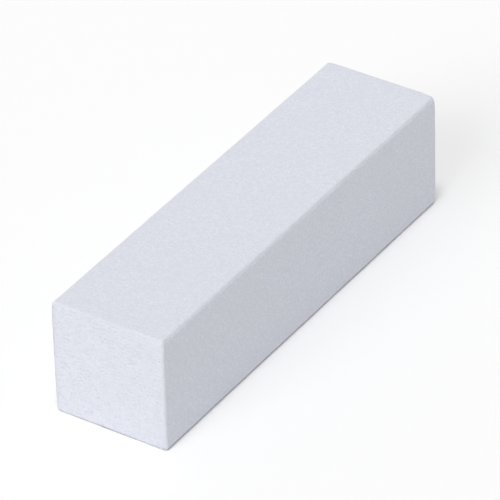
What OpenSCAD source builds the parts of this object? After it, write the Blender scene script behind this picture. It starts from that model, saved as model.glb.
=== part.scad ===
// Nail buffer block: a square bar of closed-cell foam with an abrasive strip
// laminated to each of its four long faces. The two ends are bare foam.
//
// Frame: the block lies on its bottom strip. Its length runs along Y, its width
// along X and its height along Z. The origin is the middle of its bottom face.
//
// Each strip is three bonded layers, counted outwards from the foam: an adhesive
// film, a latex paper backing and a coat of resin and abrasive grain. The left
// and right strips are laminated first. The top and bottom strips then cover
// their long edges, and both ends are cut flush through all the layers.

/* [Block] */
// Length of the block, end to end
block_l = 95; // [40:1:200]
// Width of the block over its strips
block_w = 25; // [12:0.5:60]
// Height of the block over its strips
block_h = 25; // [12:0.5:60]

/* [Strip layers] */
// Thickness of the adhesive film on the foam
film_t = 0.1; // [0.05:0.01:0.2]
// Thickness of the paper backing
paper_t = 0.25; // [0.1:0.05:0.4]
// Thickness of the abrasive coat, from the paper to the tips of the grain
coat_t = 0.15; // [0.05:0.05:0.3]

/* [Colours] */
// Colour of the foam
foam_colour = [0.89, 0.90, 0.93]; // [0:0.01:1]
// Colour of the adhesive film
film_colour = [0.84, 0.84, 0.80]; // [0:0.01:1]
// Colour of the paper backing
paper_colour = [0.90, 0.89, 0.86]; // [0:0.01:1]
// Colour of the abrasive coat
coat_colour = [0.86, 0.87, 0.90]; // [0:0.01:1]

/* [Hidden] */
// The long faces in the order that quarter turns about +Y bring the top one to
SIDES = ["top", "right", "bottom", "left"];

// One strip's whole thickness
strip_t = film_t + paper_t + coat_t;
// The foam bar's section inside the four strips
core_w = block_w - 2 * strip_t;
core_h = block_h - 2 * strip_t;
// How far out from the foam the two outer layers begin
paper_start = film_t;
coat_start = film_t + paper_t;

// Lifts what is drawn around the origin to the block's long axis
module on_long_axis() {
    translate([0, 0, block_h / 2]) children();
}

// One layer of the strip on the SIDES[turns] face, `start` out from the foam.
// Top and bottom strips, at even turns, are as wide as the block. The side strips
// between them are only as high as the foam.
module strip_layer(turns, start, thickness) {
    covers_edges = turns % 2 == 0;
    across = covers_edges ? block_w : core_h;
    foam_face = (covers_edges ? core_h : core_w) / 2;
    on_long_axis()
        rotate([0, 90 * turns, 0])
            translate([-across / 2, -block_l / 2, foam_face + start])
                cube([across, block_l, thickness]);
}

// The bar of closed-cell foam, bare at both ends
module foam_core() {
    color(foam_colour) on_long_axis() cube([core_w, block_l, core_h], center = true);
}

// The pressure-sensitive film that bonds a strip to the foam
module adhesive_film(turns) {
    color(film_colour) strip_layer(turns, 0, film_t);
}

// The latex-impregnated paper that carries the grain
module paper_backing(turns) {
    color(paper_colour) strip_layer(turns, paper_start, paper_t);
}

// The resin-bonded abrasive grain on the paper
module abrasive_coat(turns) {
    color(coat_colour) strip_layer(turns, coat_start, coat_t);
}

foam_core();
for (turns = [0:len(SIDES) - 1]) {
    adhesive_film(turns);
    paper_backing(turns);
    abrasive_coat(turns);
}
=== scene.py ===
"""Looks of the nail buffer block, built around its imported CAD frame. Lengths are in metres.

The block is a square bar of closed-cell foam, bare at both ends, with an abrasive strip on each
long side. Every strip is an adhesive film, a paper backing and a coat of grain, and each layer is
one piece here. All pieces take the same gentle softening of the block's edges and corners, so
that layers which touch in the CAD model still touch.
"""

import math

import bpy
import numpy as np
from mathutils import Matrix, Vector


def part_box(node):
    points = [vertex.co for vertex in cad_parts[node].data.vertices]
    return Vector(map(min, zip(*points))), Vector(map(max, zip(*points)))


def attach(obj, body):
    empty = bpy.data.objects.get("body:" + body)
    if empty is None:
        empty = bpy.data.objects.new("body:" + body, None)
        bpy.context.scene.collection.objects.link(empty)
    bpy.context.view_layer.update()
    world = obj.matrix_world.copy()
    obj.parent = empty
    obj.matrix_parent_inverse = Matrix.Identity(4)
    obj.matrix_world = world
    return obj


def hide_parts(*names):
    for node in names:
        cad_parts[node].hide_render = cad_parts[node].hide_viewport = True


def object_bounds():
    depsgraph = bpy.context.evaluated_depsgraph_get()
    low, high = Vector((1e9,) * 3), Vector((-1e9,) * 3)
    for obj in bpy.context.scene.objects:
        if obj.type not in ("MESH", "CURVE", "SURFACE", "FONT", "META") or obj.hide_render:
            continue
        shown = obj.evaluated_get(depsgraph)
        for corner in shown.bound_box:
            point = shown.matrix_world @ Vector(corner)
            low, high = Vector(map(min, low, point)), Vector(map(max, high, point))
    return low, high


MM = 0.001
SIDES = ["top", "right", "bottom", "left"]  # a quarter turn about +Y takes each to the next
SHARP_ANGLE = math.radians(72)  # edges of a mesh that bend more than this are shaded sharp
LATTICE_TURN = math.radians(33)  # keeps the noise's own grid from showing along the edges
CELL_MARGIN = 0.08  # least distance of a cell's middle from its square's edge, as a share of the square
TINY = 1e-12  # keeps a length that divides from being zero

# Softening of the whole block
LONG_EDGE_RADIUS = 0.95 * MM
END_EDGE_RADIUS = 0.38 * MM
CORNER_RADIUS = 0.80 * MM  # the edges' radii grow to this at a corner
WORN_CORNERS = {(1, 1, 1): 0.95 * MM, (1, 1, -1): 1.00 * MM}  # by signs of X, Y, Z
CORNER_REACH = 1.7  # how far along an edge that growth lasts, in corner radii
FACE_SAG = 0.09 * MM  # the deepest hollow of a long face's slow unevenness
FACE_SAG_SIZE = 17 * MM
SAGGING_FACES = ((0, -1, 11), (0, 1, 12), (2, 1, 13))  # axis, side and noise seed of each

# Abrasive coat
MESH_PITCH = 0.165 * MM
JITTER = 0.30  # how far a mesh point strays in its cell, as a share of the pitch
GRAIN_SIZE = 0.38 * MM
GRAIN_RELIEF = 0.056 * MM
LEAST_GRAIN = 0.35  # height of the lowest grain, as a share of the tallest
GRAIN_SLOPE = 0.55  # how wide a grain's sloping rim is, in grain sizes
GRAIN_DOME = 0.5  # how much a grain falls off away from its middle
FINE_RELIEF = 0.014 * MM
PATCH_SIZE = 4.5 * MM
PATCH_RELIEF = 0.014 * MM
CRUMBLE_WIDTH = 0.22 * MM  # how far in from a cut edge the grain has broken away
CRUMBLE_DEPTH = 0.050 * MM
LEAST_CRUMBLE = 0.4  # the share of that depth which is lost all along the edge
CRUMBLE_FROM, CRUMBLE_TO = -0.5, 0.6  # levels of noise where an edge starts to break and is broken
LEAST_COAT = 0.012 * MM  # the resin that stays on the paper where the grain has gone

# Cut edges of the layers, as the most that an edge falls short of its true line
CUT_RAGGED = 0.20 * MM  # shared by the three layers of a strip, which one knife cuts
BUTTED = 0.12  # the share of that left where a side strip butts against the top and bottom strips
COAT_RAGGED = 0.03 * MM
PAPER_RAGGED = 0.03 * MM
FILM_RAGGED = 0.02 * MM
RAGGED_SIZE = 0.60 * MM  # length of an edge's longest waves
RAGGED_REACH = 0.30 * MM  # how far in from its edge a layer's mesh follows them
RAGGED_LANE = 40 * RAGGED_SIZE  # keeps the wander of opposite edges apart
SIDE_CUT_SEED = 40
END_CUT_SEED = 50
LAYER_STEP = 0.25 * MM  # mesh spacing of paper and film along the block
LAYER_EDGE_STEP = 0.20 * MM
LAYER_EDGE_BAND = 1.6 * MM  # the mesh is closer together in this band along each long edge
LAYER_MIDDLE_COLUMNS = 7
COAT_MIDDLE_COLUMNS = (0.2, 0.4, 0.6, 0.8)  # under the coat, as shares of its width

# Cut ends of the foam
FOAM_STEP = 0.115 * MM
CELL_SIZE = 0.85 * MM  # cells that the cut has opened, as shallow bowls
CELL_DEPTH = 0.13 * MM
CELL_WARP = 0.16 * CELL_SIZE
CELL_WALL = 0.38  # width of a cut cell's wall, in cell sizes
LEAST_CELL = 0.25  # depth of the shallowest cell, as a share of the deepest
PEBBLE_SIZE = 1.05 * MM  # softer bumps that cross the cells
PEBBLE_DEPTH = 0.095 * MM
FINE_DEPTH = 0.010 * MM
KNIFE_SIZE = 1.9 * MM  # spacing of the faint waves that the knife left
KNIFE_DEPTH = 0.010 * MM
KNIFE_ACROSS, KNIFE_UP = 0.55, 0.83  # the way across the knife's waves, in X and Z
KNIFE_SWAY = 0.9 * KNIFE_SIZE
KNIFE_SWAY_SIZE = 5 * KNIFE_SIZE
KNIFE_FADE_SIZE = 4 * KNIFE_SIZE
BORDER_DEPTH = 0.05 * MM  # the foam is drawn in a little beside the strips
BORDER_REACH = 0.5 * MM
FRONT_END_SEED = 500
BACK_END_SEED = 600
FOAM_RINGS = (2 * MM, 8 * MM)  # rows of points on the plain sides, by distance from either end

# Colours, in linear red, green and blue
GRAIN_BRIGHT = (0.798, 0.816, 0.891)
GRAIN_DULL = (0.742, 0.760, 0.834)
# painted shade: the darker colour given to the hollows between grains
GRAIN_GAP_PAINTED_SHADE = (0.674, 0.691, 0.764)
GRAIN_BLOTCH = (0.715, 0.720, 0.780)
GRAIN_SPECK = (0.52, 0.52, 0.54)
FOAM_BRIGHT = (0.736, 0.756, 0.824)
FOAM_DULL = (0.704, 0.722, 0.788)
# painted shade: the darker colour given to the hollows of the cut cells
FOAM_HOLLOW_PAINTED_SHADE = (0.682, 0.700, 0.768)
FOAM_BLOTCH = (0.695, 0.700, 0.740)
PAPER_BRIGHT = (0.722, 0.740, 0.808)
PAPER_DULL = (0.645, 0.661, 0.728)
PAPER_CLOUD = (0.680, 0.690, 0.740)
FILM_BRIGHT = (0.725, 0.742, 0.802)
FILM_DULL = (0.665, 0.682, 0.738)
FLOOR_WHITE = (0.975, 0.975, 0.975)

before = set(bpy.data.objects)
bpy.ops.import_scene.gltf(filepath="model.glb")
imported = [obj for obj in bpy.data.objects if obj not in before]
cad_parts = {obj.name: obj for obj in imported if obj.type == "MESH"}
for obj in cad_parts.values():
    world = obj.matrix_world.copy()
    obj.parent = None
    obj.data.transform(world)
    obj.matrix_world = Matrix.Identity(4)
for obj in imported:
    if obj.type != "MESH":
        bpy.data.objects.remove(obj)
cad_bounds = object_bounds()
block_low, block_high = (np.array(corner) for corner in cad_bounds)
block_size = block_high - block_low
block_middle = (block_low + block_high) / 2
half_size = block_size / 2


# ---------------------------------------------------------------- noise

def lattice_noise(a, b, size, seed):
    """Smooth noise from -1 to 1 at the points (a, b), with features about `size` across."""
    u, v = np.broadcast_arrays(a / size, b / size)
    i, j = np.floor(u).astype(int), np.floor(v).astype(int)
    p, q = u - i, v - j
    i, j = i - i.min(), j - j.min()
    table = np.random.default_rng(seed).uniform(-1, 1, (i.max() + 2, j.max() + 2))
    p, q = p * p * (3 - 2 * p), q * q * (3 - 2 * q)
    low = table[i, j] * (1 - p) + table[i + 1, j] * p
    high = table[i, j + 1] * (1 - p) + table[i + 1, j + 1] * p
    return low * (1 - q) + high * q


def layered_noise(a, b, size, octaves, seed):
    """Several sizes of lattice noise, each half the size of the one before, and turned against it."""
    total, weight = 0.0, 0.0
    for k in range(octaves):
        share = 0.5 ** k
        cos, sin = math.cos((k + 1) * LATTICE_TURN), math.sin((k + 1) * LATTICE_TURN)
        octave = lattice_noise(a * cos - b * sin, a * sin + b * cos, size * share, seed + k)
        total = total + share * octave
        weight += share
    return total / weight


def cells(a, b, size, seed):
    """Distance to a cell's middle, distance to its wall and a random number for each cell."""
    u, v = a / size, b / size
    i, j = np.floor(u).astype(int), np.floor(v).astype(int)
    i0, j0 = i.min() - 1, j.min() - 1
    shape = (i.max() - i0 + 2, j.max() - j0 + 2)
    source = np.random.default_rng(seed)
    middle_u, middle_v, value = (source.uniform(CELL_MARGIN, 1 - CELL_MARGIN, shape) for _ in range(3))
    nearest = np.full(u.shape, np.inf)
    second = np.full(u.shape, np.inf)
    chosen = np.zeros(u.shape)
    for di in (-1, 0, 1):
        for dj in (-1, 0, 1):
            m, n = i + di - i0, j + dj - j0
            distance = np.hypot(i + di + middle_u[m, n] - u, j + dj + middle_v[m, n] - v)
            closer = distance < nearest
            second = np.where(closer, nearest, np.minimum(second, distance))
            chosen = np.where(closer, value[m, n], chosen)
            nearest = np.where(closer, distance, nearest)
    return nearest, second - nearest, chosen


def falloff(distance, reach):
    """Falls from 1 at an edge to about a third at the reach."""
    return np.exp(-distance / reach)


def smooth_step(low, high, value):
    """A smooth rise from 0 at low to 1 at high."""
    t = np.clip((value - low) / (high - low), 0, 1)
    return t * t * (3 - 2 * t)


# ---------------------------------------------------------------- shape of the whole block

def sag(p):
    """Lets the long faces sag a little, all but the one that the block lies on."""
    moved = p.copy()
    for axis, side, seed in SAGGING_FACES:
        hollow = 0.5 + 0.5 * layered_noise(p[..., 2 - axis], p[..., 1], FACE_SAG_SIZE, 2, seed)
        share = np.clip(side * p[..., axis] / half_size[axis], 0, 1) ** 2
        moved[..., axis] -= side * FACE_SAG * hollow * share
    return moved


def round_pair(first, second, radius):
    """Depths below two faces, moved so that the sharp edge between the faces gets a radius."""
    a, b = np.maximum(radius - first, 0), np.maximum(radius - second, 0)
    squeeze = np.maximum(a, b) / np.maximum(np.hypot(a, b), TINY)
    both = (a > 0) & (b > 0)
    return np.where(both, radius - a * squeeze, first), np.where(both, radius - b * squeeze, second)


def corner_radii(sign):
    """The radius of each point's own corner, which the signs of X, Y and Z tell."""
    radii = np.full(sign.shape[:-1], CORNER_RADIUS)
    for signs, radius in WORN_CORNERS.items():
        radii[np.all(sign == signs, axis=-1)] = radius
    return radii


def blended_radius(edge_radius, corner_radius, distance):
    """An edge's radius at a distance from the corner, where the corner's own radius holds."""
    share = np.exp(-(distance / (CORNER_REACH * corner_radius)) ** 2)
    return edge_radius + (corner_radius - edge_radius) * share


def soften(points):
    """Rounds the block's long edges, end edges and corners, then lets its long faces sag."""
    p = points - block_middle
    sign = np.where(p < 0, -1.0, 1.0)
    depth = half_size - np.abs(p)
    x, y, z = depth[..., 0], depth[..., 1], depth[..., 2]
    corner_radius = corner_radii(sign)
    long_radius = blended_radius(LONG_EDGE_RADIUS, corner_radius, y)
    end_radius = blended_radius(END_EDGE_RADIUS, corner_radius, np.maximum(x, z))
    round_x, round_z = round_pair(x, z, long_radius)
    a, b = np.maximum(long_radius - round_x, 0), np.maximum(long_radius - round_z, 0)
    in_edge = (a > 0) & (b > 0)
    from_axis = np.hypot(a, b)
    side_depth = np.where(in_edge, long_radius - from_axis, np.minimum(round_x, round_z))
    new_side, new_y = round_pair(side_depth, y, end_radius)
    inward = new_side - side_depth
    nearer_x = round_x < round_z
    toward_x = np.where(in_edge, a / np.maximum(from_axis, TINY), nearer_x)
    toward_z = np.where(in_edge, b / np.maximum(from_axis, TINY), ~nearer_x)
    new_depth = np.stack([round_x + inward * toward_x, new_y, round_z + inward * toward_z], -1)
    return sag(sign * (half_size - new_depth)) + block_middle


def turned(across, along, out, turns):
    """Points on a long side: `across` it, `along` the block and `out` from the block's long axis."""
    across, along, out = np.broadcast_arrays(across, along, out)
    cos, sin = round(math.cos(turns * math.pi / 2)), round(math.sin(turns * math.pi / 2))
    x = across * cos + out * sin
    z = out * cos - across * sin
    return np.stack([x, along, z], -1) + block_middle


def layer_place(node, turns):
    """A layer's width across its side, and its inner and outer distances from the long axis."""
    low, high = (np.array(corner) - block_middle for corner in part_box(node))
    outward = 2 if turns % 2 == 0 else 0
    width = (high - low)[2 - outward]
    span = np.abs([low[outward], high[outward]])
    return width, span.min(), span.max()


# ---------------------------------------------------------------- meshes

def add_piece(name, vertices, faces, material, node, relief=None):
    """A closed mesh that stands for a CAD node. `relief`, from 0 in a hollow to 1 on a tip, lets its
    material darken the hollows with painted shade.
    """
    mesh = bpy.data.meshes.new(name)
    mesh.from_pydata(vertices.reshape(-1, 3).tolist(), [], faces)
    if relief is not None:
        mesh.attributes.new("relief", "FLOAT", "POINT").data.foreach_set("value", relief.astype(np.float32))
    mesh.materials.append(material)
    mesh.shade_smooth()
    mesh.set_sharp_from_angle(angle=SHARP_ANGLE)
    mesh.validate()
    piece = bpy.data.objects.new(name, mesh)
    bpy.context.scene.collection.objects.link(piece)
    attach(piece, "root")
    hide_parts(node)
    return piece


def quads(corners):
    """Faces between neighbours in a grid of vertex numbers, with their normals along rows x columns."""
    faces = np.stack([corners[:-1, :-1], corners[1:, :-1], corners[1:, 1:], corners[:-1, 1:]], -1)
    return faces.reshape(-1, 4).tolist()


def slab_faces(across_count, along_count, kept):
    """Faces of a closed slab: a full outer grid, and an inner grid with only the `kept` columns."""
    outer = np.arange(across_count * along_count).reshape(across_count, along_count)
    inner = outer.size + np.arange(len(kept) * along_count).reshape(len(kept), along_count)
    faces = quads(outer) + quads(inner[::-1])
    faces += quads(np.stack([inner[0], outer[0]]))
    faces += quads(np.stack([outer[-1], inner[-1]]))
    for k, (first, last) in enumerate(zip(kept[:-1], kept[1:])):
        front = [inner[k, 0], inner[k + 1, 0], *outer[first:last + 1, 0][::-1]]
        back = [inner[k + 1, -1], inner[k, -1], *outer[first:last + 1, -1]]
        faces += [[int(n) for n in front], [int(n) for n in back]]
    return faces


def long_edge_wear(turns):
    """The top and bottom strips show their cut long edges, and the side strips butt against them."""
    return 1.0 if turns % 2 == 0 else BUTTED


def cut_line(position, lane, amount, own_seed, cut_seed):
    """How far a cut edge falls short at each position along it: a shared wander and the layer's own."""
    shared = 0.5 + 0.5 * layered_noise(position, lane, RAGGED_SIZE, 3, cut_seed)
    own = 0.5 + 0.5 * layered_noise(position, lane, RAGGED_SIZE, 2, own_seed)
    return CUT_RAGGED * shared + amount * own


def ragged(across, along, width, amount, own_seed, turns):
    """Grid points whose outer edges fall short of the true cut, each edge by its own cut line."""
    across, along = np.broadcast_arrays(across, along)
    side, end = np.where(across < 0, -1, 1), np.where(along < 0, -1, 1)
    side_cut = cut_line(along, side * RAGGED_LANE, amount, own_seed, SIDE_CUT_SEED + turns)
    side_short = long_edge_wear(turns) * side_cut
    end_short = cut_line(across, end * RAGGED_LANE, amount, own_seed + 7, END_CUT_SEED + turns)
    side_share = falloff(width / 2 - abs(across), RAGGED_REACH)
    end_share = falloff(block_size[1] / 2 - abs(along), RAGGED_REACH)
    return across - side * side_short * side_share, along - end * end_short * end_share


def coat_height(across, along, width, thickness, wear, seed):
    """Height of the grain over the paper, and its relief: packed grains, slow patches, broken edges."""
    middle, wall, value = cells(across, along, GRAIN_SIZE, seed)
    tallness = LEAST_GRAIN + (1 - LEAST_GRAIN) * value
    grain = tallness * smooth_step(0, GRAIN_SLOPE, wall) * (1 - GRAIN_DOME * middle)
    fine = np.random.default_rng(seed + 1).uniform(0, 1, grain.shape)
    patch = 0.5 + 0.5 * layered_noise(across, along, PATCH_SIZE, 2, seed + 3)
    drop = GRAIN_RELIEF * (1 - grain) + FINE_RELIEF * fine + PATCH_RELIEF * patch
    by_long_edge = wear * falloff(width / 2 - abs(across), CRUMBLE_WIDTH)
    by_edge = np.maximum(by_long_edge, falloff(block_size[1] / 2 - abs(along), CRUMBLE_WIDTH))
    wander = layered_noise(across, along, RAGGED_SIZE, 2, seed + 5)
    broken = smooth_step(CRUMBLE_FROM, CRUMBLE_TO, wander)
    drop += CRUMBLE_DEPTH * (LEAST_CRUMBLE + (1 - LEAST_CRUMBLE) * broken) * by_edge
    return np.clip(thickness - drop, LEAST_COAT, thickness), grain


def mesh_lines(length, pitch):
    """Evenly spaced positions along a length whose middle is zero."""
    return np.linspace(-length / 2, length / 2, round(length / pitch) + 1)


def jittered(across, along, seed):
    """A grid of points, each strayed a little from its place unless it is on the outline."""
    across, along = np.meshgrid(across, along, indexing="ij")
    stray = np.random.default_rng(seed).uniform(-1, 1, (2, *across.shape)) * JITTER * MESH_PITCH
    stray[:, [0, -1], :] = 0
    stray[:, :, [0, -1]] = 0
    return across + stray[0], along + stray[1]


def make_coat(turns, material):
    """A coat of grain: every grain stands up on its outer side, and its inner side is plain."""
    node = f"abrasive_coat_{SIDES[turns]}"
    width, inner_face, outer_face = layer_place(node, turns)
    columns, rows = mesh_lines(width, MESH_PITCH), mesh_lines(block_size[1], MESH_PITCH)
    seed = 100 * (turns + 1)
    across, along = jittered(columns, rows, seed + 50)
    wear = long_edge_wear(turns)
    height, grain = coat_height(across, along, width, outer_face - inner_face, wear, seed)
    plan = ragged(across, along, width, COAT_RAGGED, seed + 20, turns)
    outer = turned(*plan, inner_face + height, turns)
    kept = edge_columns(columns)
    inner = turned(plan[0][kept], plan[1][kept], inner_face, turns)
    vertices = np.concatenate([soften(outer).reshape(-1, 3), soften(inner).reshape(-1, 3)])
    faces = slab_faces(columns.size, rows.size, kept)
    # the grain's relief, which darkens the gaps with painted shade; the plain inner side counts as all gap
    relief = np.concatenate([grain.ravel(), np.zeros(inner.size // 3)])
    name = f"grain_coat_{SIDES[turns]}"
    add_piece(name, vertices, faces, material, node, relief)


def edge_columns(across):
    """Which of a coat's columns its inner side keeps: close together by the long edges only."""
    gap = across[1] - across[0]
    band = [round(distance / gap) for distance in np.arange(0, LAYER_EDGE_BAND, 2 * LAYER_EDGE_STEP)]
    last = len(across) - 1
    middle = [round(last * share) for share in COAT_MIDDLE_COLUMNS]
    return sorted({*band, *middle, *(last - k for k in band)})


def layer_columns(width):
    """Positions across a thin layer, close together by its long edges."""
    band = np.arange(0, LAYER_EDGE_BAND, LAYER_EDGE_STEP) - width / 2
    reach = width / 2 - LAYER_EDGE_BAND
    middle = np.linspace(-reach, reach, LAYER_MIDDLE_COLUMNS)
    return np.concatenate([band, middle, -band[::-1]])[:, None]


def make_layer(kind, name, amount, turns, material):
    """A thin sheet of paper or film, plain on both sides, whose cut edges are ragged by `amount`."""
    node = f"{kind}_{SIDES[turns]}"
    width, inner_face, outer_face = layer_place(node, turns)
    across = layer_columns(width)
    along = mesh_lines(block_size[1], LAYER_STEP)[None, :]
    seed = 1000 * len(name) + 100 * turns  # no two sheets share one
    plan = ragged(across, along, width, amount, seed, turns)
    sheets = [soften(turned(*plan, out, turns)).reshape(-1, 3) for out in (outer_face, inner_face)]
    faces = slab_faces(across.size, along.size, range(across.size))
    add_piece(f"{name}_{SIDES[turns]}", np.concatenate(sheets), faces, material, node)


def foam_end_depth(x, z, seed):
    """How far the cut foam lies below its true end, and its relief: open cells, pebbles, knife waves."""
    warp_x = x + CELL_WARP * layered_noise(x, z, CELL_SIZE, 2, seed)
    warp_z = z + CELL_WARP * layered_noise(x, z, CELL_SIZE, 2, seed + 2)
    _, wall, value = cells(warp_x, warp_z, CELL_SIZE, seed + 4)
    bowl = smooth_step(0, CELL_WALL, wall) * (LEAST_CELL + (1 - LEAST_CELL) * value)
    depth = CELL_DEPTH * bowl
    depth += PEBBLE_DEPTH * (0.5 + 0.5 * layered_noise(x, z, PEBBLE_SIZE, 3, seed + 6))
    depth += FINE_DEPTH * np.random.default_rng(seed + 9).uniform(0, 1, x.shape)
    sway = KNIFE_SWAY * layered_noise(x, z, KNIFE_SWAY_SIZE, 2, seed + 11)
    wave = np.sin(2 * math.pi * (KNIFE_ACROSS * x + KNIFE_UP * z + sway) / KNIFE_SIZE)
    strength = 0.5 + 0.5 * layered_noise(x, z, KNIFE_FADE_SIZE, 1, seed + 13)
    depth += KNIFE_DEPTH * strength * (0.5 + 0.5 * wave)
    return depth, 1 - bowl


def foam_ends(low, high):
    """Square grids of points over the bar's front and back ends, and the relief of each grid."""
    count = round((high[0] - low[0]) / FOAM_STEP) + 1
    x = np.linspace(low[0], high[0], count)[:, None]
    z = np.linspace(low[2], high[2], count)[None, :]
    x, z = np.broadcast_arrays(x, z)
    border = np.minimum(np.minimum(x - low[0], high[0] - x), np.minimum(z - low[2], high[2] - z))
    drawn_in = BORDER_DEPTH * falloff(border, BORDER_REACH)
    front, front_relief = foam_end_depth(x, z, FRONT_END_SEED)
    back, back_relief = foam_end_depth(x, z, BACK_END_SEED)
    places = (low[1] + front + drawn_in, high[1] - back - drawn_in)
    return [np.stack([x, y, z], -1) for y in places], [front_relief, back_relief]


def make_foam(material):
    """The foam bar: a closed mesh whose ends are cut foam and whose hidden sides are plain."""
    low, high = (np.array(corner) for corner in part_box("foam_core"))
    ends, reliefs = foam_ends(low, high)
    front = np.arange(reliefs[0].size).reshape(reliefs[0].shape)
    back = front + front.size
    loop = np.concatenate([front[:-1, 0], front[-1, :-1], front[:0:-1, -1], front[0, :0:-1]])

    stations = [*(low[1] + reach for reach in FOAM_RINGS), block_middle[1]]
    stations += [high[1] - reach for reach in reversed(FOAM_RINGS)]
    rings = np.tile(ends[0].reshape(-1, 3)[loop], (len(stations), 1, 1))
    rings[..., 1] = np.array(stations)[:, None]
    ring_numbers = 2 * front.size + np.arange(rings[..., 0].size).reshape(len(stations), loop.size)

    rows = np.concatenate([[loop], ring_numbers, [loop + front.size]])
    rows = np.concatenate([rows, rows[:, :1]], axis=1)
    vertices = np.concatenate([points.reshape(-1, 3) for points in (*ends, rings)])
    faces = quads(front) + quads(back[::-1]) + quads(rows)
    # the cut cells' relief, which darkens their hollows with painted shade; the plain sides get none
    relief = np.concatenate([*(grid.ravel() for grid in reliefs), np.ones(ring_numbers.size)])
    piece = add_piece("foam_bar", soften(vertices), faces, material, "foam_core", relief)


# ---------------------------------------------------------------- materials

class Shader:
    """A Principled material whose colour, roughness and bump come from noise in object space."""

    def __init__(self, name, specular):
        self.material = bpy.data.materials.new(name)
        self.material.use_nodes = True
        self.tree = self.material.node_tree
        self.surface = self.tree.nodes["Principled BSDF"]
        self.surface.inputs["Specular IOR Level"].default_value = specular
        self.place = self.tree.nodes.new("ShaderNodeTexCoord").outputs["Object"]

    def relief(self):
        """The piece's own relief, from 0 in a hollow to 1 on a tip."""
        node = self.tree.nodes.new("ShaderNodeAttribute")
        node.attribute_name = "relief"
        return node.outputs["Fac"]

    def stretched(self, factors):
        """Object coordinates multiplied by one factor for each axis."""
        node = self.tree.nodes.new("ShaderNodeMapping")
        node.inputs["Scale"].default_value = factors
        self.tree.links.new(self.place, node.inputs["Vector"])
        return node.outputs["Vector"]

    def noise(self, size, detail=2.0, place=None):
        """Noise from 0 to 1 with features about `size` across."""
        node = self.tree.nodes.new("ShaderNodeTexNoise")
        node.inputs["Scale"].default_value = 1 / size
        node.inputs["Detail"].default_value = detail
        self.tree.links.new(place or self.place, node.inputs["Vector"])
        return node.outputs["Fac"]

    def spots(self, size):
        """Distance from the nearest of many scattered points, in units of `size`."""
        node = self.tree.nodes.new("ShaderNodeTexVoronoi")
        node.inputs["Scale"].default_value = 1 / size
        self.tree.links.new(self.place, node.inputs["Vector"])
        return node.outputs["Distance"]

    def between(self, value, low, high, out_low=0.0, out_high=1.0):
        """`value` from low to high, as a smooth change from out_low to out_high."""
        node = self.tree.nodes.new("ShaderNodeMapRange")
        node.interpolation_type = "SMOOTHSTEP"
        limits = {"From Min": low, "From Max": high, "To Min": out_low, "To Max": out_high}
        for socket, number in limits.items():
            node.inputs[socket].default_value = number
        self.tree.links.new(value, node.inputs["Value"])
        return node.outputs["Result"]

    def blend(self, share, first, second):
        """A colour `share` of the way from first to second. Each is a colour or a socket."""
        node = self.tree.nodes.new("ShaderNodeMix")
        node.data_type = "RGBA"
        self.tree.links.new(share, node.inputs["Factor"])
        for socket, colour in zip((node.inputs[6], node.inputs[7]), (first, second)):
            if isinstance(colour, tuple):
                socket.default_value = (*colour, 1)
            else:
                self.tree.links.new(colour, socket)
        return node.outputs[2]

    def bump(self, height, distance, strength, under=None):
        """A normal bent by a height, over the normal `under` it where there is one."""
        node = self.tree.nodes.new("ShaderNodeBump")
        node.inputs["Distance"].default_value = distance
        node.inputs["Strength"].default_value = strength
        self.tree.links.new(height, node.inputs["Height"])
        if under is not None:
            self.tree.links.new(under, node.inputs["Normal"])
        return node.outputs["Normal"]

    def finish(self, colour, roughness, normal):
        """Joins the sockets to the surface and hands over the material."""
        self.tree.links.new(colour, self.surface.inputs["Base Color"])
        self.tree.links.new(roughness, self.surface.inputs["Roughness"])
        self.tree.links.new(normal, self.surface.inputs["Normal"])
        return self.material


def grain_material():
    """White abrasive grain in resin: pale grains, gaps darkened with painted shade, slow blotches and a few
    dull specks.
    """
    s = Shader("white_grain", specular=0.35)
    grain = s.noise(0.26 * MM, 3)
    blotch = s.noise(9 * MM, 3)
    speck = s.spots(1.7 * MM)
    tip = s.blend(s.between(grain, 0.36, 0.62), GRAIN_DULL, GRAIN_BRIGHT)
    # painted shade: the lower a point's relief, the nearer its colour comes to the darker gap colour
    colour = s.blend(s.between(s.relief(), 0, 0.6), GRAIN_GAP_PAINTED_SHADE, tip)
    colour = s.blend(s.between(blotch, 0.35, 0.68, 0, 0.22), colour, GRAIN_BLOTCH)
    colour = s.blend(s.between(speck, 0.03, 0.07, 0.30, 0), colour, GRAIN_SPECK)
    fine = s.bump(s.noise(0.10 * MM, 2), 0.02 * MM, 0.35)
    normal = s.bump(grain, 0.02 * MM, 0.30, fine)
    return s.finish(colour, s.between(grain, 0.3, 0.7, 0.94, 0.72), normal)


def foam_material():
    """White closed-cell foam: bright cell walls, hollows slightly darkened with painted shade and a soft,
    dry surface.
    """
    s = Shader("white_foam", specular=0.25)
    cell = s.noise(0.45 * MM, 3)
    blotch = s.noise(5 * MM, 2)
    wall = s.blend(s.between(cell, 0.35, 0.65), FOAM_DULL, FOAM_BRIGHT)
    # painted shade: the lower a point's relief, the nearer its colour comes to the darker hollow colour
    colour = s.blend(s.between(s.relief(), 0, 0.8), FOAM_HOLLOW_PAINTED_SHADE, wall)
    colour = s.blend(s.between(blotch, 0.35, 0.7, 0, 0.15), colour, FOAM_BLOTCH)
    fine = s.bump(s.noise(0.12 * MM, 2), 0.02 * MM, 0.3)
    normal = s.bump(cell, 0.04 * MM, 0.3, fine)
    return s.finish(colour, s.between(cell, 0.3, 0.7, 0.92, 0.78), normal)


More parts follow.
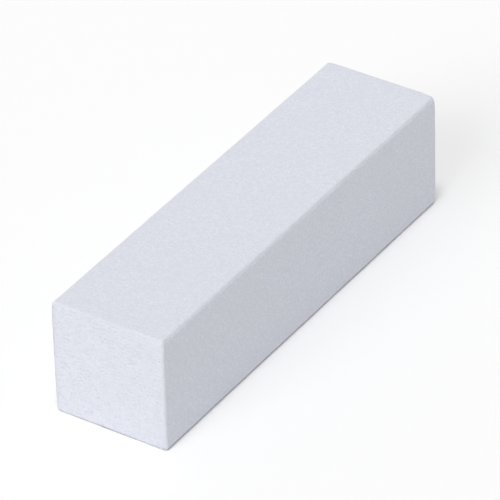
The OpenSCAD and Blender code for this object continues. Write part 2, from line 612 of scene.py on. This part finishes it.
def paper_material():
    """Latex paper backing seen on its cut edge: pale fibres that run along the block."""
    s = Shader("paper_backing", specular=0.3)
    fibre = s.noise(0.11 * MM, 4, s.stretched((1.0, 0.16, 1.0)))
    cloud = s.noise(2.2 * MM, 2)
    colour = s.blend(s.between(fibre, 0.32, 0.68), PAPER_DULL, PAPER_BRIGHT)
    colour = s.blend(s.between(cloud, 0.35, 0.7, 0, 0.25), colour, PAPER_CLOUD)
    return s.finish(colour, s.between(fibre, 0.3, 0.7, 0.9, 0.75), s.bump(fibre, 0.03 * MM, 0.5))


def film_material():
    """Adhesive film: about as pale as the paper, a little glossier, with strings along the cut."""
    s = Shader("adhesive_film", specular=0.45)
    string = s.noise(0.5 * MM, 3, s.stretched((1.0, 0.4, 1.0)))
    colour = s.blend(s.between(string, 0.35, 0.65), FILM_DULL, FILM_BRIGHT)
    return s.finish(colour, s.between(string, 0.3, 0.7, 0.42, 0.62), s.bump(string, 0.03 * MM, 0.4))


# ---------------------------------------------------------------- camera, light and floor

VIEW_AZIMUTH = 34.07
VIEW_ELEVATION = 34.98
VIEW_ROLL = -1.67
VIEW_DISTANCE = 38.0 * block_size[0]
LENS_MM = 360
SENSOR_MM = 36
NEAREST_SEEN = 0.05
FARTHEST_SEEN = 60
FLOOR_REACH = 30


def direction(azimuth, elevation):
    """Unit vector from the block towards a viewer or a light. Azimuth 0 is on the -Y side."""
    a, e = math.radians(azimuth), math.radians(elevation)
    return Vector((math.sin(a) * math.cos(e), -math.cos(a) * math.cos(e), math.sin(e)))


def look_from(azimuth, elevation, distance, roll=0.0):
    """Matrix of a camera or light that faces the block's middle."""
    back = direction(azimuth, elevation)
    facing = back.to_track_quat("Z", "Y").to_matrix().to_4x4()
    rolled = facing @ Matrix.Rotation(math.radians(roll), 4, "Z")
    return Matrix.Translation(Vector(block_middle) + back * distance) @ rolled


def add_camera():
    """A long lens far away, which sees the block nearly without perspective."""
    data = bpy.data.cameras.new("camera")
    data.sensor_width = SENSOR_MM
    data.lens = LENS_MM
    data.clip_start, data.clip_end = NEAREST_SEEN, FARTHEST_SEEN
    camera = bpy.data.objects.new("camera", data)
    camera.matrix_world = look_from(VIEW_AZIMUTH, VIEW_ELEVATION, VIEW_DISTANCE, VIEW_ROLL)
    bpy.context.scene.collection.objects.link(camera)
    bpy.context.scene.camera = camera


def add_light(name, azimuth, elevation, spread, strength):
    """A broad distant light. Its spread, in degrees, softens the shadows as a large softbox does."""
    data = bpy.data.lights.new(name, "SUN")
    data.angle = math.radians(spread)
    data.energy = strength
    light = bpy.data.objects.new(name, data)
    light.matrix_world = look_from(azimuth, elevation, 1.0)
    bpy.context.scene.collection.objects.link(light)


def add_floor():
    """A wide pale floor without gloss, under the block."""
    corners = [(x * FLOOR_REACH, y * FLOOR_REACH, 0) for x, y in ((-1, -1), (1, -1), (1, 1), (-1, 1))]
    mesh = bpy.data.meshes.new("floor")
    mesh.from_pydata(corners, [], [(0, 1, 2, 3)])
    material = bpy.data.materials.new("pale_floor")
    material.use_nodes = True
    surface = material.node_tree.nodes["Principled BSDF"]
    surface.inputs["Base Color"].default_value = (*FLOOR_WHITE, 1)
    surface.inputs["Roughness"].default_value = 1.0
    surface.inputs["Specular IOR Level"].default_value = 0.0
    mesh.materials.append(material)
    floor = bpy.data.objects.new("floor", mesh)
    floor.location.z = block_low[2]
    bpy.context.scene.collection.objects.link(floor)


def add_surround(bright_side, low_level, high_level, seen_level):
    """A white surround that lights more from one side, and is itself seen at one even level."""
    world = bpy.data.worlds.new("surround")
    world.use_nodes = True
    bpy.context.scene.world = world
    nodes, links = world.node_tree.nodes, world.node_tree.links
    toward = nodes.new("ShaderNodeVectorMath")
    toward.operation = "DOT_PRODUCT"
    toward.inputs[1].default_value = direction(bright_side, 0)
    links.new(nodes.new("ShaderNodeTexCoord").outputs["Generated"], toward.inputs[0])
    lighting = nodes.new("ShaderNodeMapRange")
    lighting.inputs["From Min"].default_value = -1
    lighting.inputs["To Min"].default_value = low_level
    lighting.inputs["To Max"].default_value = high_level
    links.new(toward.outputs["Value"], lighting.inputs["Value"])
    level = nodes.new("ShaderNodeMapRange")
    level.inputs["To Max"].default_value = seen_level
    links.new(lighting.outputs["Result"], level.inputs["To Min"])
    links.new(nodes.new("ShaderNodeLightPath").outputs["Is Camera Ray"], level.inputs["Value"])
    nodes["Background"].inputs["Color"].default_value = (1, 1, 1, 1)
    links.new(level.outputs["Result"], nodes["Background"].inputs["Strength"])


make_foam(foam_material())
film, paper, grain = film_material(), paper_material(), grain_material()
for turns in range(len(SIDES)):
    make_layer("adhesive_film", "adhesive_sheet", FILM_RAGGED, turns, film)
    make_layer("paper_backing", "paper_sheet", PAPER_RAGGED, turns, paper)
    make_coat(turns, grain)

add_floor()
add_surround(bright_side=-45, low_level=0.41, high_level=0.59, seen_level=0.98)
add_light("overhead", azimuth=20, elevation=80, spread=14, strength=1.14)
add_light("front", azimuth=-4, elevation=30, spread=40, strength=0.91)
add_camera()
bpy.context.scene.view_settings.view_transform = "Standard"
